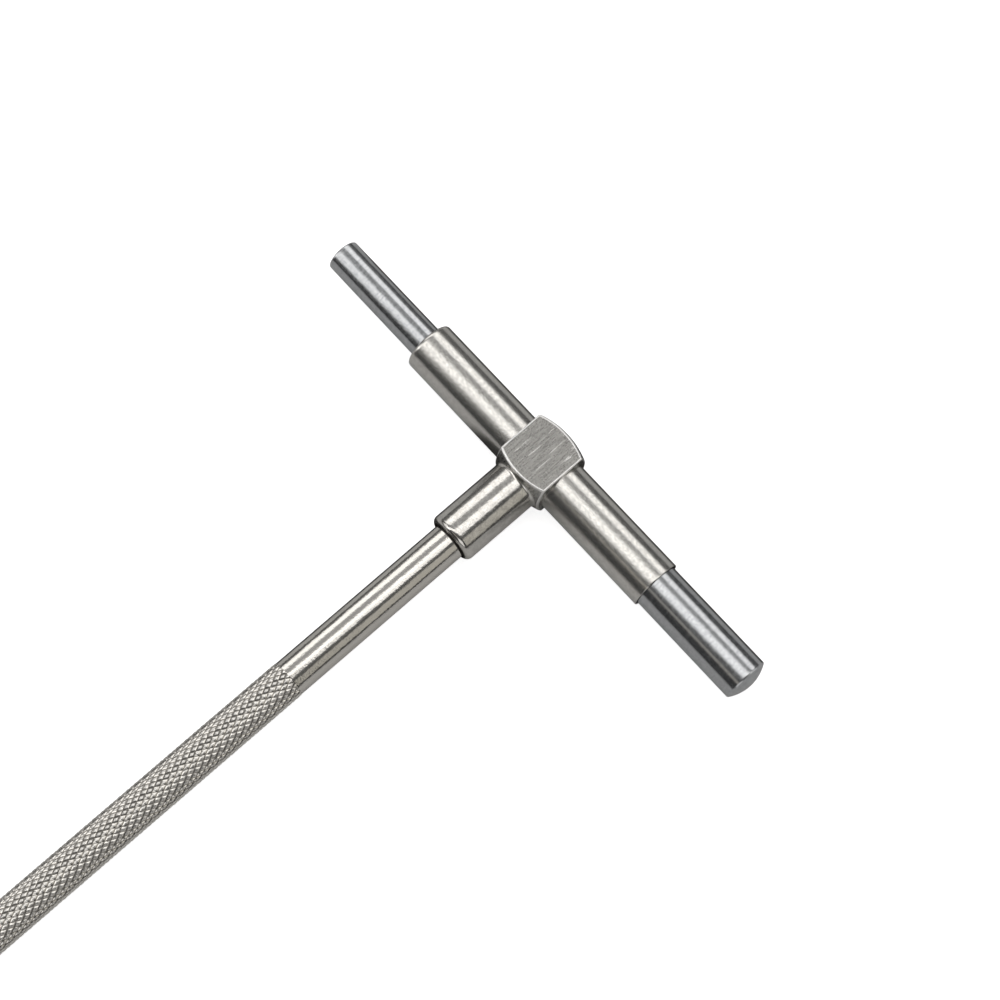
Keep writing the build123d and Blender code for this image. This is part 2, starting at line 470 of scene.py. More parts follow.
def domed(size, facing, steps=10):
    # half outline of a plunger's measuring end, from its middle to its side
    radius, sphere, edge = size["radius"], size["tipSphere"], size["edge"]
    centre = size["tipX"] - facing * sphere
    last = math.asin((radius - edge) / sphere)
    line = [
        Vector((centre + facing * sphere * math.cos(last * i / steps),
                sphere * math.sin(last * i / steps)))
        for i in range(steps + 1)
    ]
    shoulder = centre + facing * math.sqrt(sphere**2 - radius**2)
    middle = Vector((shoulder - facing * edge, radius - edge))
    start = line[-1] - middle
    sweep = math.atan2(start.y, facing * start.x)
    for i in range(1, arcSteps + 1):
        turn = sweep + (math.pi / 2 - sweep) * i / arcSteps
        line.append(middle + Vector((facing * edge * math.cos(turn), edge * math.sin(turn))))
    return line


def slotCutter(size, steps=24):
    # a prism with round ends, standing along Y
    bm = bmesh.new()
    half = size["slotHalfWidth"]
    outline = []
    for centreX, first in ((size["slotTo"] - half, -90), (size["slotFrom"] + half, 90)):
        for i in range(steps + 1):
            turn = math.radians(first + 180 * i / steps)
            outline.append((centreX + half * math.cos(turn), half * math.sin(turn)))
    rings = [
        [bm.verts.new((x, y, axisZ + z)) for x, z in outline]
        for y in (-size["slotFloor"], -size["radius"] - cutReach)
    ]
    joinAll(bm, rings)
    for ring in rings:
        bm.faces.new(ring)
    return meshPiece("cutter", bm, [])


def makePlunger(name, size, facing, inside):
    # inside is the rest of the outline, from the plunger's side back to its axis
    line = domed(size, facing)
    line += rounded([(line[-1].x, size["radius"], 0), *inside])[1:]
    piece = turnedPiece(name, supported(line), onBar, size["segments"], [rodSteel])
    cut(piece, slotCutter(size))
    return piece


def makeSmallPlunger(size):
    return makePlunger("smallPlunger", size, -1, [
        (size["innerEnd"], size["radius"], size["edge"]),
        (size["innerEnd"], 0, 0),
    ])


def makeLargePlunger(size):
    return makePlunger("largePlunger", size, 1, [
        (size["innerEnd"], size["radius"], size["lip"]),
        (size["innerEnd"], size["bore"], size["lip"]),
        (size["boreEnd"], size["bore"], 0),
        (size["boreEnd"], 0, 0),
    ])


barNickel = satinNickel("barNickel", {
    "grain": 0.17, "cloud": 0.34, "cloudStretch": (0.6, 1, 1), "cloudHeight": 0.5, "spread": 0.30,
    "dull": (0.57, 0.555, 0.525), "bright": (0.75, 0.735, 0.70),
    "smoothest": 0.13, "roughest": 0.27, "depth": 0.008,
})
crossbarSizes = {
    "leftEnd": -25.0, "rightEnd": 25.0, "radius": 4.10, "bore": 3.70, "smallBore": 2.75,
    "endWall": 4.0, "leftRounding": 0.5, "mouth": 0.20, "lip": 0.10, "segments": 192,
    "windowRadius": 0.9, "windowFrom": -2.5, "windowTo": -5.5, "windowSegments": 48,
}


def makeCrossbar(size):
    stepX = size["leftEnd"] + size["endWall"]
    line = supported(rounded([
        (size["leftEnd"], size["smallBore"], size["mouth"]),
        (size["leftEnd"], size["radius"], size["leftRounding"]),
        (size["rightEnd"], size["radius"], size["lip"]),
        (size["rightEnd"], size["bore"], size["mouth"]),
        (stepX, size["bore"], 0),
        (stepX, size["smallBore"], 0),
    ]))
    materials = [barNickel, gapShade]
    piece = turnedPiece("crossbarTube", line, onBar, size["segments"], materials, closed=True)
    # the window lets the brake pin through to the plungers
    window = [
        (size["windowFrom"], 0), (size["windowFrom"], size["windowRadius"]),
        (size["windowTo"], size["windowRadius"]), (size["windowTo"], 0),
    ]
    cut(piece, turnedPiece("cutter", window, onHandle, size["windowSegments"], []))

    def slotAt(centre, normal):
        # painted shade keeps the mouths dark
        bore = size["smallBore"] if centre.x < 0 else size["bore"]
        return 1 if math.hypot(centre.y, centre.z - axisZ) < bore + size["mouth"] else 0

    paint(piece, slotAt)
    return piece


smallPlunger = makeSmallPlunger(smallPlungerSizes)
largePlunger = makeLargePlunger(largePlungerSizes)
crossbarTube = makeCrossbar(crossbarSizes)
print("plungers and bar made")


hubSizes = {
    "width": 9.3, "thickness": 9.6, "crownHeight": 5.65, "crownSphere": 12.8,
    "edge": 0.20, "leastEdge": 0.02, "perSide": 43, "perCorner": 5,
    "crownShares": (0.08, 0.2, 0.35, 0.5, 0.65, 0.8, 0.92), "crownRound": 4.2,
    "sideRings": (0.12, 1.2, 2.6), "footShares": (0.1, 0.4, 0.7, 1.0),
    "tubeRadius": 4.10, "tubeMouth": 0.10, "tubeSegments": 192,
    "neckRadius": 4.0, "neckFoot": 0.25, "neckFillet": ((0.07, 0.08), (0.25, 0.0), (0.40, 0.0)),
    "neckEnd": -18.0, "lipRound": 0.95, "lipGap": 0.15, "lipSteps": 12,
    "mouthRadius": 3.15, "mouthEdge": 0.03, "mouthDepth": 0.45, "mouthShade": 3.42,
    "socketRadius": 2.88, "socketEnd": -8.5, "pinBore": 1.35, "pinBoreEnd": -1.0,
    "flatTilt": 0.6, "neckMargin": 0.02,
}
hubFlat = groundSteel("hubFlat", {
    "line": 0.24, "stretch": (1, 0.08, 1), "pit": 0.20, "pitted": 1.4, "spread": 0.36,
    "dark": (0.31, 0.302, 0.286), "pale": (0.49, 0.479, 0.455),
    "smoothest": 0.24, "roughest": 0.36, "depth": 0.010,
    "scratchSpacing": (0.17, 3.5, 6), "scratched": 0.36, "scratchColour": (0.92, 0.91, 0.88),
    # edges: wear and a painted highlight
    "edgeWear": 0.34, "wornEdgeAndHighlight": (1.0, 0.99, 0.97), "edgeRough": 0.10,
}, hubSizes)
hubSide = groundSteel("hubSide", {
    "line": 0.25, "stretch": (1, 1, 0.06), "pit": 0.25, "pitted": 0.3, "spread": 0.3,
    "dark": (0.36, 0.35, 0.33), "pale": (0.54, 0.53, 0.51),
    "smoothest": 0.22, "roughest": 0.34, "depth": 0.005,
    "scratchSpacing": (0.5, 0.5, 5), "scratched": 0.1, "scratchColour": (0.8, 0.8, 0.78),
    # edges: wear and a painted highlight
    "edgeWear": 0.30, "wornEdgeAndHighlight": (0.98, 0.97, 0.95), "edgeRough": 0.10,
}, hubSizes)
neckNickel = satinNickel("neckNickel", {
    "grain": 0.28, "cloud": 1.1, "cloudStretch": (1, 1, 1), "cloudHeight": 1.5, "spread": 0.30,
    "dull": (0.60, 0.58, 0.545), "bright": (0.77, 0.75, 0.71),
    "smoothest": 0.10, "roughest": 0.20, "depth": 0.010,
})


def squareLoop(size, inset):
    # round the block's cross section, the corners as small arcs
    radius = max(size["edge"] - inset, size["leastEdge"])
    x = size["width"] / 2 - inset - radius
    z = size["thickness"] / 2 - inset - radius
    centres = [Vector(place) for place in ((x, z), (-x, z), (-x, -z), (x, -z))]
    loop = []
    for side, centre in enumerate(centres):
        for i in range(size["perCorner"] + 1):
            turn = math.radians(90 * side) + math.radians(90) * i / size["perCorner"]
            out = radius * Vector((math.cos(turn), math.sin(turn)))
            loop.append(centre + out)
        start = centre + out
        end = centres[(side + 1) % 4] + out
        loop += [start.lerp(end, i / size["perSide"]) for i in range(1, size["perSide"])]
    return loop


def crownY(size, point):
    sphere = size["crownSphere"]
    return size["crownHeight"] - sphere + math.sqrt(sphere**2 - point.length_squared)


def neckLine(size, foot):
    # the neck's outline, from its foot to its lip and back up the bore
    radius = size["neckRadius"]
    lipCentre = Vector((size["neckEnd"] + size["lipRound"], radius - size["lipRound"]))
    line = [Vector((foot - down, radius + out)) for down, out in size["neckFillet"]]
    line.append(Vector((lipCentre.x + size["lipGap"], radius)))
    reach = size["mouthRadius"] + size["mouthEdge"] - lipCentre.y
    lastTurn = math.acos(reach / size["lipRound"])
    for step in range(size["lipSteps"] + 1):
        turn = lastTurn * step / size["lipSteps"]
        line.append(lipCentre + size["lipRound"] * Vector((-math.sin(turn), math.cos(turn))))
    mouthEnd = size["neckEnd"] + size["mouthDepth"]
    return line + [Vector(corner) for corner in (
        (line[-1].x, size["mouthRadius"]),
        (mouthEnd, size["mouthRadius"]),
        (mouthEnd, size["socketRadius"]),
        (size["socketEnd"], size["socketRadius"]),
        (size["socketEnd"], size["pinBore"]),
        (size["pinBoreEnd"], size["pinBore"]),
    )]


def hubBore(size):
    # the cutter of the hole for the bar, with a small chamfer at both mouths
    half, mouth, radius = size["width"] / 2, size["tubeMouth"], size["tubeRadius"]
    wide = radius + mouth + cutReach
    line = [
        (-half - cutReach, 0), (-half - cutReach, wide), (-half, radius + mouth),
        (-half + mouth, radius), (half - mouth, radius),
        (half, radius + mouth), (half + cutReach, wide), (half + cutReach, 0),
    ]
    return turnedPiece("cutter", line, onBar, size["tubeSegments"], [])


def makeHub(size):
    edge = size["edge"]
    outer = squareLoop(size, 0)
    inner = squareLoop(size, edge)
    bm = bmesh.new()
    rings = []

    def addRing(points, heights):
        rings.append([bm.verts.new((p.x, y, axisZ + p.y)) for p, y in zip(points, heights)])

    def addEdge(facing, steps):
        # the rounded edge between a crown and the sides
        for step in steps:
            turn = math.radians(90 * step / arcSteps)
            points = squareLoop(size, edge * (1 - math.cos(turn)))
            drop = edge * (1 - math.sin(turn))
            addRing(points, [facing * (crownY(size, p) - drop) for p in points])

    # upper crown, from its middle out to the edge
    rings.append([bm.verts.new((0, size["crownHeight"], axisZ))])
    for share in size["crownShares"]:
        circle = [point.normalized() * size["crownRound"] for point in inner]
        points = [near.lerp(point, share) * share for near, point in zip(circle, inner)]
        addRing(points, [crownY(size, p) for p in points])
    addEdge(1, range(arcSteps, -1, -1))
    # sides, with rings near both ends
    top = [crownY(size, p) - edge for p in outer]
    for lower in size["sideRings"]:
        addRing(outer, [y - lower for y in top])
    for lower in reversed(size["sideRings"]):
        addRing(outer, [lower - y for y in top])
    # lower crown, from its edge to the foot of the neck
    addEdge(-1, range(arcSteps + 1))
    circle = [point.normalized() * (size["neckRadius"] + size["neckFoot"]) for point in inner]
    for share in size["footShares"]:
        points = [far.lerp(near, share) for far, near in zip(inner, circle)]
        addRing(points, [-crownY(size, p) for p in points])
    foot = -crownY(size, Vector((size["neckRadius"], 0)))
    for station, radius in neckLine(size, foot):
        addRing([point.normalized() * radius for point in inner], [station] * len(inner))
    rings.append([bm.verts.new((0, size["pinBoreEnd"], axisZ))])
    joinAll(bm, rings)
    piece = meshPiece("hubBlock", bm, [hubSide, hubFlat, neckNickel, gapShade])
    cut(piece, hubBore(size))

    def slotAt(centre, normal):
        # 0 is the sides and crowns, 1 the flats, 2 the neck, 3 its mouth and the lip's front, in
        # painted shade
        aboutAxis = math.hypot(centre.x, centre.z - axisZ)
        onNeck = aboutAxis < size["neckRadius"] + size["neckFoot"]
        if onNeck and centre.y < foot + size["neckMargin"]:
            return 3 if aboutAxis < size["mouthShade"] else 2
        return 1 if abs(normal.z) > size["flatTilt"] else 0

    paint(piece, slotAt)
    return piece


hubBlock = makeHub(hubSizes)
print("hub made")


# levels of one pressed diamond: share of its width, height, bulge of its sides
diamondLevels = [
    (1.00, 0.00, 1.00), (0.82, 0.22, 1.00), (0.50, 0.70, 1.06), (0.24, 0.94, 1.15),
]


def diamondRing(share, height, bulge):
    # eight points round a diamond's centre line: corners and middles of its sides
    ring = []
    for i in range(8):
        turn = math.radians(45 * i)
        along = share * (0.5 * bulge * math.sqrt(2) if i % 2 else 1)
        ring.append((along * math.cos(turn) / 2, along * math.sin(turn) / 2, height))
    return ring


def makeUnitDiamond(levels):
    # 1 wide and 1 long, its foot at height 0 and its crest at 1
    bm = bmesh.new()
    rings = [[bm.verts.new(point) for point in diamondRing(*level)] for level in levels]
    rings.append([bm.verts.new((0, 0, 1))])
    joinAll(bm, rings)
    mesh = bpy.data.meshes.new("unitDiamond")
    bm.to_mesh(mesh)
    bm.free()
    piece = bpy.data.objects.new("unitDiamond", mesh)
    scene.collection.objects.link(piece)
    return piece


def spreadDiamonds(group, ins):
    # a flat staggered lattice: X is the share of a turn, Y runs down the handle
    index = put(group, "GeometryNodeInputIndex").outputs[0]
    row = calc(group, "FLOOR", calc(group, "DIVIDE", index, ins["Around"]))
    column = calc(group, "MODULO", index, ins["Around"])
    shifted = calc(group, "MULTIPLY_ADD", calc(group, "MODULO", row, 2.0), 0.5, column)
    turn = calc(group, "DIVIDE", shifted, ins["Around"])
    along = calc(group, "MULTIPLY", calc(group, "MULTIPLY", row, 0.5), ins["Pitch"])
    points = put(group, "GeometryNodePoints")
    feed(group, calc(group, "MULTIPLY", ins["Around"], ins["Rows"]), points.inputs["Count"])
    feed(group, combine(group, turn, along, 0.0), points.inputs["Position"])
    shape = put(group, "GeometryNodeObjectInfo")
    feed(group, ins["Diamond"], shape.inputs["Object"])
    wear = put(group, "FunctionNodeRandomValue", data_type="FLOAT")
    feed(group, calc(group, "SUBTRACT", 1.0, ins["Crest Wear"]), wear.inputs[2])
    feed(group, 1.0, wear.inputs[3])
    feed(group, ins["Seed"], wear.inputs["Seed"])
    width = calc(group, "DIVIDE", 1.0, ins["Around"])
    spread = put(group, "GeometryNodeInstanceOnPoints")
    feed(group, points.outputs[0], spread.inputs["Points"])
    feed(group, shape.outputs["Geometry"], spread.inputs["Instance"])
    feed(group, combine(group, width, ins["Pitch"], wear.outputs[1]), spread.inputs["Scale"])
    real = put(group, "GeometryNodeRealizeInstances")
    feed(group, spread.outputs[0], real.inputs[0])
    return real.outputs[0]


def wrapDiamonds(group, ins, flat, weldGap=0.002):
    # the lattice goes round the handle's axis, no higher than the run-outs at both ends
    x, y, z = separate(group, put(group, "GeometryNodeInputPosition").outputs[0])
    # half diamonds at both ends leave straight rims
    before = calc(group, "LESS_THAN", y, 0.0)
    beyond = calc(group, "GREATER_THAN", y, ins["Length"])
    trim = put(group, "GeometryNodeDeleteGeometry", domain="FACE")
    feed(group, flat, trim.inputs["Geometry"])
    feed(group, calc(group, "ADD", before, beyond), trim.inputs["Selection"])
    depth = calc(group, "SUBTRACT", ins["Crest Radius"], ins["Root Radius"])
    radius = calc(group, "MULTIPLY_ADD", z, depth, ins["Root Radius"])
    fromStart = calc(group, "MULTIPLY_ADD", y, ins["Start Slope"], ins["Start Radius"])
    toEnd = calc(group, "SUBTRACT", ins["Length"], y)
    fromEnd = calc(group, "MULTIPLY_ADD", toEnd, ins["End Slope"], ins["End Radius"])
    radius = calc(group, "MINIMUM", radius, calc(group, "MINIMUM", fromStart, fromEnd))
    angle = calc(group, "MULTIPLY", x, 2 * math.pi)
    wrapped = combine(
        group,
        calc(group, "MULTIPLY", radius, calc(group, "COSINE", angle)),
        calc(group, "SUBTRACT", ins["Start"], y),
        calc(group, "MULTIPLY_ADD", radius, calc(group, "SINE", angle), ins["Axis Height"]),
    )
    wrap = put(group, "GeometryNodeSetPosition")
    feed(group, trim.outputs[0], wrap.inputs["Geometry"])
    feed(group, wrapped, wrap.inputs["Position"])
    weld = put(group, "GeometryNodeMergeByDistance")
    feed(group, wrap.outputs[0], weld.inputs["Geometry"])
    feed(group, weldGap * mm, weld.inputs["Distance"])
    return weld.outputs[0]


def setMaterial(group, geometry, material, out):
    node = put(group, "GeometryNodeSetMaterial")
    feed(group, geometry, node.inputs["Geometry"])
    feed(group, material, node.inputs["Material"])
    feed(group, node.outputs[0], out)


def knurlTree():
    group, ins, out = newGroup("knurl", "GeometryNodeTree", "Geometry", "NodeSocketGeometry", {
        "Around": 21, "Rows": 117, "Start": 0.0, "Length": 0.0, "Pitch": 0.0,
        "Root Radius": 0.0, "Crest Radius": 0.0, "Start Radius": 0.0, "Start Slope": 0.0,
        "End Radius": 0.0, "End Slope": 0.0, "Axis Height": 0.0, "Crest Wear": 0.0, "Seed": 3,
        "Diamond": "NodeSocketObject", "Material": "NodeSocketMaterial",
    })
    sleeve = wrapDiamonds(group, ins, spreadDiamonds(group, ins))
    setMaterial(group, sleeve, ins["Material"], out)
    return group


def growTree(name, tree, values):
    # a tree's result as a plain mesh; values go in by the sockets' names
    piece = bpy.data.objects.new(name, bpy.data.meshes.new(name))
    scene.collection.objects.link(piece)
    modifier = piece.modifiers.new("nodes", "NODES")
    modifier.node_group = tree
    for socket in tree.interface.items_tree:
        if socket.in_out == "INPUT" and socket.name in values:
            modifier[socket.identifier] = values[socket.name]
    takeResult(piece)
    return piece


unitDiamond = makeUnitDiamond(diamondLevels)
knurl = knurlTree()

# plate of the handle and the knob, its valleys darkened by dirt and painted shade; root, skin and
# crest are distances from the axis
nickelPlate = {
    "grain": 0.28, "uneven": 0.2, "wave": 0.9, "waveHeight": 1.5,
    "dull": (0.66, 0.635, 0.59), "bright": (0.79, 0.765, 0.72), "rough": 0.14,
    "valleyDirtAndShade": (0.31, 0.288, 0.26), "grimeRough": 0.30,
    "rubbed": (0.87, 0.845, 0.80), "rubbedRough": 0.16,
}
handleNickel = brightNickel("handleNickel", {
    **nickelPlate, "root": 2.84, "skin": 2.875, "crest": 2.93,
    "waveStretch": (1, 0.3, 1), "depth": 0.014,
})
knobNickel = brightNickel("knobNickel", {
    **nickelPlate, "root": 3.15, "skin": 3.17, "crest": 3.24,
    "waveStretch": (1, 1, 1), "depth": 0.010,
})
handleSizes = {
    "socketTop": -8.5, "seamEnd": -18.25, "bore": 1.9, "topEdge": 0.1, "boreEdge": 0.08,
    "knurlStart": -48.8, "knurlEnd": -137.0, "around": 21, "rows": 117,
    "root": 2.83, "crest": 2.98, "wear": 0.08, "seed": 3,
    "startRadius": 2.88, "startSlope": 0.28, "endRadius": 2.63, "endSlope": 1.0, "endDrop": 0.05,
    "rimGap": 0.02,
}
knobSizes = {
    "start": -137.8, "startDrop": 0.1, "startEdge": 0.3, "startBore": 1.2, "boreEnd": -145.8,
    "end": -150.0, "endDrop": 0.25, "endEdge": 0.45,
    "knurlStart": -138.5, "knurlEnd": -149.1, "around": 23, "rows": 15,
    "root": 3.14, "crest": 3.3, "wear": 0.08, "seed": 3,
    "startRadius": 3.16, "startSlope": 0.5, "endRadius": 3.16, "endSlope": 0.5, "rimGap": 0.02,
    "pinY": -141.8, "pinRadius": 0.5, "pinEnd": 3.18, "pinEdge": 0.12, "pinSegments": 46,
    "holeReach": 3.6,
}


def wrapKnurl(name, size, material):
    # an open sleeve of diamonds
    length = (size["knurlStart"] - size["knurlEnd"]) * mm
    return growTree(name, knurl, {
        "Around": size["around"], "Rows": size["rows"],
        "Start": size["knurlStart"] * mm, "Length": length,
        "Pitch": length * 2 / (size["rows"] - 1),
        "Root Radius": size["root"] * mm, "Crest Radius": size["crest"] * mm,
        "Start Radius": size["startRadius"] * mm, "Start Slope": size["startSlope"],
        "End Radius": size["endRadius"] * mm, "End Slope": size["endSlope"],
        "Axis Height": axisZ * mm, "Crest Wear": size["wear"], "Seed": size["seed"],
        "Diamond": unitDiamond, "Material": material,
    })


def turnOf(vert):
    # where a vertex lies round the handle's axis, from the first point of a turned ring
    return round(math.atan2(vert.co.z - axisZ, vert.co.x), 4) % (2 * math.pi)


def joinTurned(name, size, strips, material):
    # turned strips are joined to the knurl's open rims, into one closed skin
    sleeve = wrapKnurl(name, size, material)
    bm = bmesh.new()
    bm.from_mesh(sleeve.data)
    bmesh.ops.scale(bm, vec=(1 / mm, 1 / mm, 1 / mm), verts=bm.verts)
    bpy.data.objects.remove(sleeve)
    for face in bm.faces:
        face.material_index = 0
    rims = {vert for edge in bm.edges if edge.is_boundary for vert in edge.verts}
    middle = sum(vert.co.y for vert in rims) / len(rims)
    upperRim = sorted((vert for vert in rims if vert.co.y > middle), key=turnOf)
    lowerRim = sorted((vert for vert in rims if vert.co.y < middle), key=turnOf)
    rings = [ring for line in strips for ring in addTurned(bm, line, onHandle, len(upperRim))]
    joinRings(bm, upperRim, rings[0])
    joinRings(bm, rings[-1], lowerRim)
    return meshPiece(name, bm, [material])


def makeHandle(size):
    smooth = supported(rounded([
        (size["knurlStart"] + size["rimGap"], size["startRadius"], 0),
        (size["seamEnd"], size["startRadius"], 0),
        (size["socketTop"], size["startRadius"], size["topEdge"]),
        (size["socketTop"], size["bore"], 0),
        (size["knurlEnd"], size["bore"], size["boreEdge"]),
        (size["knurlEnd"], size["endRadius"] - size["endDrop"], 0),
    ]))
    piece = joinTurned("knurledHandle", size, [smooth], handleNickel)
    # painted shade keeps the corner at the neck dark
    piece.data.materials.append(gapShade)
    paint(piece, lambda centre, normal: 1 if centre.y > size["seamEnd"] else 0)
    return piece


def onPin(along, radius, turn):
    # round the cross pin's axis, which stands on the knob's
    return (radius * math.cos(turn), knobSizes["pinY"] + radius * math.sin(turn), axisZ + along)


def makeKnob(size):
    front = supported(rounded([
        (size["knurlStart"] + size["rimGap"], size["startRadius"], 0),
        (size["start"], size["startRadius"] - size["startDrop"], size["startEdge"]),
        (size["start"], size["startBore"], 0),
        (size["boreEnd"], size["startBore"], 0),
        (size["boreEnd"], 0, 0),
    ]))
    back = supported(rounded([
        (size["end"], 0, 0),
        (size["end"], size["endRadius"] - size["endDrop"], size["endEdge"]),
        (size["knurlEnd"] - size["rimGap"], size["endRadius"], 0),
    ]))
    piece = joinTurned("lockKnob", size, [front, back], knobNickel)
    piece.modifiers.new("flatFaces", "TRIANGULATE")  # keeps the hole's rim clean
    reach, radius = size["holeReach"], size["pinRadius"]
    hole = [(-reach, 0), (-reach, radius), (reach, radius), (reach, 0)]
    cut(piece, turnedPiece("cutter", hole, onPin, size["pinSegments"], []))
    return piece


def makeCrossPin(size):
    # the driven pin, its ends slightly rounded
    end, radius, edge = size["pinEnd"], size["pinRadius"], size["pinEdge"]
    line = supported(rounded([(-end, 0, 0), (-end, radius, edge), (end, radius, edge), (end, 0, 0)]))
    return turnedPiece("crossPin", line, onPin, size["pinSegments"], [plainSteel])


knurledHandle = makeHandle(handleSizes)
lockKnob = makeKnob(knobSizes)
crossPin = makeCrossPin(knobSizes)
bpy.data.objects.remove(unitDiamond)
print("handle and knob made")


springSteel = satinNickel("springSteel", {
    **evenClouds, "grain": 0.10, "cloud": 0.5,
    "dull": (0.34, 0.34, 0.35), "bright": (0.50, 0.50, 0.52),
    "smoothest": 0.18, "roughest": 0.32, "depth": 0.002,
})
springSizes = {
    "from": 2.6, "to": 42.6, "turns": 8.0, "radius": 2.25, "wire": 0.19,
    "perTurn": 48, "wireSides": 12,
}


def springTree():
    group, ins, out = newGroup("springHalf", "GeometryNodeTree", "Geometry", "NodeSocketGeometry", {
        "Turns": 0.0, "Per Turn": 48, "Coil Radius": 0.0, "Wire Radius": 0.0, "Wire Sides": 12,
        "Length": 0.0, "Start": 0.0, "First Turn": 0.0, "Axis Height": 0.0,
        "Material": "NodeSocketMaterial",
    })
    coil = put(group, "GeometryNodeCurveSpiral")
    feed(group, ins["Per Turn"], coil.inputs["Resolution"])
    feed(group, ins["Turns"], coil.inputs["Rotations"])
    feed(group, ins["Coil Radius"], coil.inputs["Start Radius"])
    feed(group, ins["Coil Radius"], coil.inputs["End Radius"])
    feed(group, ins["Length"], coil.inputs["Height"])
    wire = put(group, "GeometryNodeCurvePrimitiveCircle")
    feed(group, ins["Wire Sides"], wire.inputs["Resolution"])
    feed(group, ins["Wire Radius"], wire.inputs["Radius"])
    skin = put(group, "GeometryNodeCurveToMesh")
    feed(group, coil.outputs[0], skin.inputs["Curve"])
    feed(group, wire.outputs[0], skin.inputs["Profile Curve"])
    feed(group, True, skin.inputs["Fill Caps"])
    # turned to meet the other half, then laid along the bar
    spun = put(group, "GeometryNodeTransform")
    feed(group, skin.outputs[0], spun.inputs["Geometry"])
    feed(group, combine(group, 0.0, 0.0, ins["First Turn"]), spun.inputs["Rotation"])
    laid = put(group, "GeometryNodeTransform")
    feed(group, spun.outputs[0], laid.inputs["Geometry"])
    feed(group, combine(group, 0.0, math.radians(90), 0.0), laid.inputs["Rotation"])
    feed(group, combine(group, ins["Start"], 0.0, ins["Axis Height"]), laid.inputs["Translation"])
    real = put(group, "GeometryNodeRealizeInstances")
    feed(group, laid.outputs[0], real.inputs[0])
    setMaterial(group, real.outputs[0], ins["Material"], out)
    return group


springHalf = springTree()


def makeSpringHalf(name, size, fromX, toX):
    # the two halves meet in the middle, so each can close up with its own plunger
    whole = size["to"] - size["from"]
    start = max(fromX, size["from"] + size["wire"])
    end = min(toX, size["to"] - size["wire"])
    firstTurn = 2 * math.pi * size["turns"] * (fromX - size["from"]) / whole
    return growTree(name, springHalf, {
        "Turns": size["turns"] * (toX - fromX) / whole, "Per Turn": size["perTurn"],
        "Coil Radius": size["radius"] * mm, "Wire Radius": size["wire"] * mm,
        "Wire Sides": size["wireSides"], "Length": (end - start) * mm, "Start": start * mm,
        "First Turn": firstTurn, "Axis Height": axisZ * mm, "Material": springSteel,
    })


springMiddle = (springSizes["from"] + springSizes["to"]) / 2
springNear = makeSpringHalf("springNearHalf", springSizes, springSizes["from"], springMiddle)
springFar = makeSpringHalf("springFarHalf", springSizes, springMiddle, springSizes["to"])
print("spring made")


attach(smallPlunger, "small_plunger")
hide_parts("small_plunger")

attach(largePlunger, "large_plunger")
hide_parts("large_plunger")

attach(crossbarTube, "gauge_body")
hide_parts("crossbar_tube")

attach(hubBlock, "gauge_body")
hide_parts("hub")

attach(knurledHandle, "gauge_body")
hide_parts("handle_tube")

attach(lockKnob, "lock_screw")
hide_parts("lock_knob")

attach(crossPin, "lock_screw")
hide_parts("knob_pin")

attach(springNear, "small_plunger")
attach(springFar, "large_plunger")
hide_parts("plunger_spring")
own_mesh(springNear)
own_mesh(springFar)

for nodeName in ("brake_pin", "lock_rod", "tail_bush"):
    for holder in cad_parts[nodeName].material_slots:
        holder.material = plainSteel
print("pieces ride on their bodies")


# besideBar to handleTop: where the painted shadow that the metal sees starts and is full, on X or Y
studio = {
    "floorHalf": 1500, "floorPale": 0.82, "floorGlow": 0.80, "floorRough": 0.7,
    "floorInMetal": 0.62, "paintedShadowInMetal": 0.08,
    "besideBar": (18.0, 11.0), "underBar": (-4.0, 0.0), "barEnds": (47.0, 43.0),
    "besideHandle": (-15.0, -9.0), "underHandle": (4.0, 0.0), "handleTop": (2.0, -2.0),
    "roomTilt": (-0.45, 0.30, 0.84),
    "roomTones": ((0.05, 0.055), (0.55, 0.11), (0.98, 0.38)), "worldSeen": 1.0,
}


def grey(tone):
    return (tone, tone, tone)


def makeFloor(look):
    material = bpy.data.materials.new("paleFloor")
    material.use_nodes = True
    tree = material.node_tree
    shader = tree.nodes["Principled BSDF"].inputs
    # metal sees the floor greyer, and a painted contact shadow behind the bar and the handle
    x, y, z = separate(tree, objectPlace(tree))
    x = calc(tree, "DIVIDE", x, mm)
    y = calc(tree, "DIVIDE", y, mm)

    def shadeWithin(*edges):
        # dark only where every edge's ramp is
        shade = ramp(tree, *edges[0])
        for edge in edges[1:]:
            shade = calc(tree, "MULTIPLY", shade, ramp(tree, *edge))
        return shade

    behindBar = shadeWithin((y, *look["besideBar"]), (y, *look["underBar"]),
                            (calc(tree, "ABSOLUTE", x), *look["barEnds"]))
    behindHandle = shadeWithin((x, *look["besideHandle"]), (x, *look["underHandle"]),
                               (y, *look["handleTop"]))
    shaded = calc(tree, "MAXIMUM", behindBar, behindHandle)
    inMetal = blendColour(tree, shaded, grey(look["floorInMetal"]), grey(look["paintedShadowInMetal"]))
    rays = put(tree, "ShaderNodeLightPath").outputs
    seen = blendColour(tree, rays["Is Glossy Ray"], grey(look["floorPale"]), inMetal)
    glow = calc(tree, "MULTIPLY", rays["Is Camera Ray"], look["floorGlow"])
    feed(tree, seen, shader["Base Color"])
    feed(tree, look["floorRough"], shader["Roughness"])
    feed(tree, 0.0, shader["Specular IOR Level"])
    feed(tree, (1, 1, 1, 1), shader["Emission Color"])
    feed(tree, glow, shader["Emission Strength"])
    bm = bmesh.new()
    bmesh.ops.create_grid(bm, x_segments=1, y_segments=1, size=look["floorHalf"])
    floor = meshPiece("floor", bm, [material])


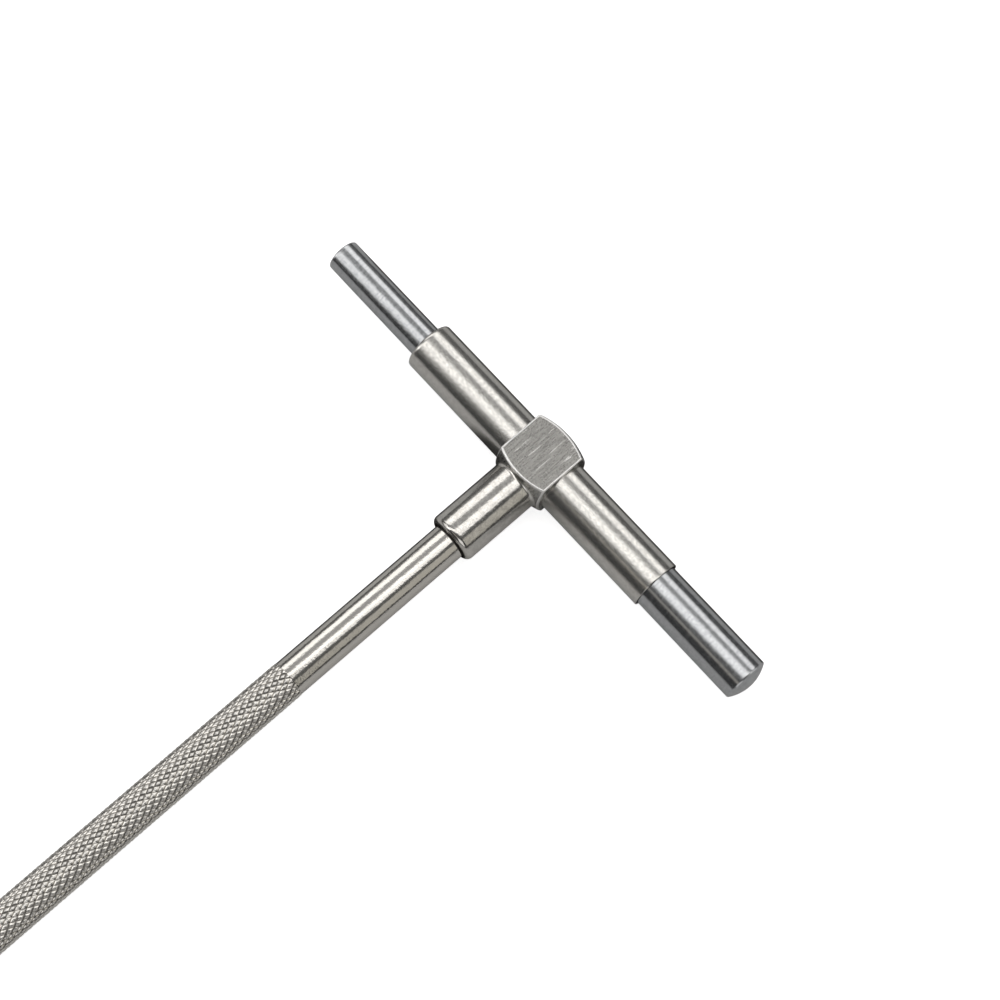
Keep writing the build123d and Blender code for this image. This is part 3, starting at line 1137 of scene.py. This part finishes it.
def makeWorld(look):
    world = bpy.data.worlds.new("studioRoom")
    scene.world = world
    world.use_nodes = True
    tree = world.node_tree
    background = tree.nodes["Background"]
    # a room that is paler overhead and towards one corner
    lean = put(tree, "ShaderNodeVectorMath", operation="DOT_PRODUCT")
    feed(tree, put(tree, "ShaderNodeTexCoord").outputs["Generated"], lean.inputs[0])
    feed(tree, look["roomTilt"], lean.inputs[1])
    tones = put(tree, "ShaderNodeValToRGB")
    feed(tree, lean.outputs["Value"], tones.inputs["Fac"])
    tones.color_ramp.interpolation = "EASE"
    tones.color_ramp.elements.new(0.5)
    for stop, (place, tone) in zip(tones.color_ramp.elements, look["roomTones"]):
        stop.position = place
        stop.color = (*grey(tone), 1)
    rays = put(tree, "ShaderNodeLightPath").outputs
    seen = blendColour(tree, rays["Is Camera Ray"], tones.outputs["Color"], grey(look["worldSeen"]))
    feed(tree, seen, background.inputs["Color"])


# soft boxes: towards, distance, long axis, length, width (metres), brightness, colour
softWhite = (1.0, 0.99, 0.98)
softBoxes = {
    "overStrip": ((-0.165, -0.170, 1.0), 1.03, (0.555, 0.832, 0.0), 2.8, 0.36, 1.25, softWhite),
    "overEdge": ((0.394, 0.230, 1.0), 1.10, (0.555, 0.832, 0.0), 0.45, 0.14, 1.25, softWhite),
    "sideStrip": ((-0.549, 0.459, 0.697), 1.0, (0.723, 0.68, 0.12), 1.8, 0.46, 1.12, softWhite),
    "warmPanel": ((0.88, 0.30, 0.48), 1.05, (0.0, 1.0, 0.0), 0.6, 0.65, 0.42, (1.0, 0.97, 0.88)),
    "frontCard": ((0.10, -0.75, 0.65), 1.0, (1.0, 0.0, 0.0), 0.50, 0.16, 0.4, (1.0, 0.92, 0.80)),
    "rightFront": ((0.75, -0.75, 0.50), 1.3, (-1.0, -1.0, 0.0), 0.80, 0.75, 0.9, softWhite),
    "rightBack": ((0.75, 0.75, 0.50), 1.3, (1.0, -1.0, 0.0), 0.80, 0.75, 0.9, softWhite),
    "leftFront": ((-0.75, -0.75, 0.50), 1.3, (-1.0, 1.0, 0.0), 0.80, 0.75, 0.9, softWhite),
}


def makeSoftBox(name, towards, distance, longAxis, length, width, brightness, colour):
    back = Vector(towards).normalized()
    along = Vector(longAxis)
    along = (along - along.dot(back) * back).normalized()
    light = bpy.data.lights.new(name, "AREA")
    light.shape = "RECTANGLE"
    light.size = length
    light.size_y = width
    light.energy = brightness * math.pi * length * width
    light.color = colour
    box = bpy.data.objects.new(name, light)
    box.matrix_world = Matrix((along, back.cross(along), back)).transposed().to_4x4()
    box.location = back * distance
    box.visible_camera = False
    scene.collection.objects.link(box)


# the photograph's camera: sizes in millimetres and pixels, turns in degrees
view = {
    "target": (0.29, -8.27, 4.8), "azimuth": -46.86, "elevation": 73.20, "roll": -49.34,
    "distance": 324.0, "focalPixels": 2202.0, "photoPixels": 1000.0,
    "sensorWidth": 36.0, "clipStart": 10.0,
}


def makeCamera(size):
    turn = math.radians(size["azimuth"])
    rise = math.radians(size["elevation"])
    roll = math.radians(size["roll"])
    back = Vector((math.cos(rise) * math.cos(turn), math.cos(rise) * math.sin(turn), math.sin(rise)))
    right = (-back).cross(Vector((0, 1, 0))).normalized()
    down = (-back).cross(right)
    across = math.cos(roll) * right + math.sin(roll) * down
    upright = math.sin(roll) * right - math.cos(roll) * down
    lens = bpy.data.cameras.new("camera")
    lens.sensor_width = size["sensorWidth"]
    lens.lens = lens.sensor_width * size["focalPixels"] / size["photoPixels"]
    lens.clip_start = size["clipStart"] * mm
    camera = bpy.data.objects.new("camera", lens)
    camera.matrix_world = Matrix((across, upright, back)).transposed().to_4x4()
    camera.location = (Vector(size["target"]) + size["distance"] * back) * mm
    scene.collection.objects.link(camera)
    scene.camera = camera


makeFloor(studio)
makeWorld(studio)
for boxName, boxSizes in softBoxes.items():
    makeSoftBox(boxName, *boxSizes)
makeCamera(view)
scene.view_settings.view_transform = "Standard"
print("studio made")
